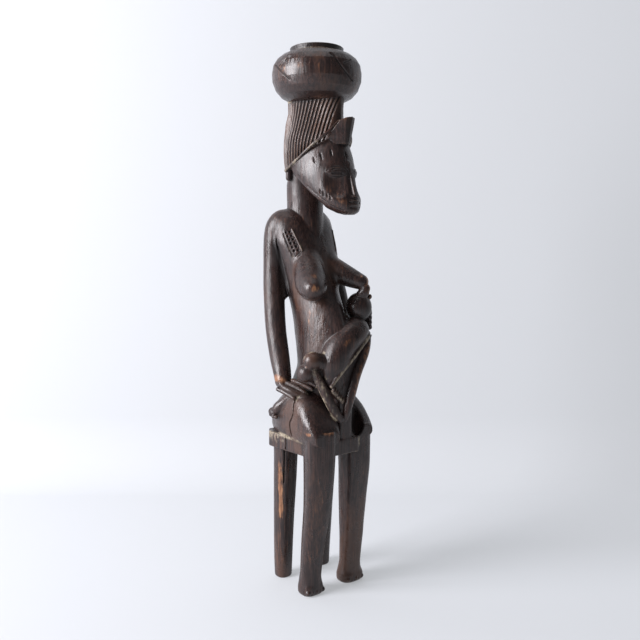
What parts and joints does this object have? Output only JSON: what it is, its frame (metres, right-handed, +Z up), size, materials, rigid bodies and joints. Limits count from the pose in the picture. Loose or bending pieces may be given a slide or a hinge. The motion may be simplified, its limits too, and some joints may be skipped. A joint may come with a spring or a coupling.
{
  "type": "seated mother and child figure",
  "caption": "Carved wooden seated woman nursing a child, with a lidless bowl on her tall grooved hair and a four-legged stool cut from the same block.",
  "frame": {"origin": "middle of the figure's bounding box, on the ground under the stool", "axes": "+Z up through the head, -Y the way she faces, +X her left"},
  "size_m": [0.1251, 0.1269, 0.699],
  "materials": {
    "dark_wood": "hand carved, dark oiled and smoked surface worn satin smooth on the high places"
  },
  "bodies": {
    "root": {"maternity_figure": "dark_wood"}
  },
  "joints": []
}
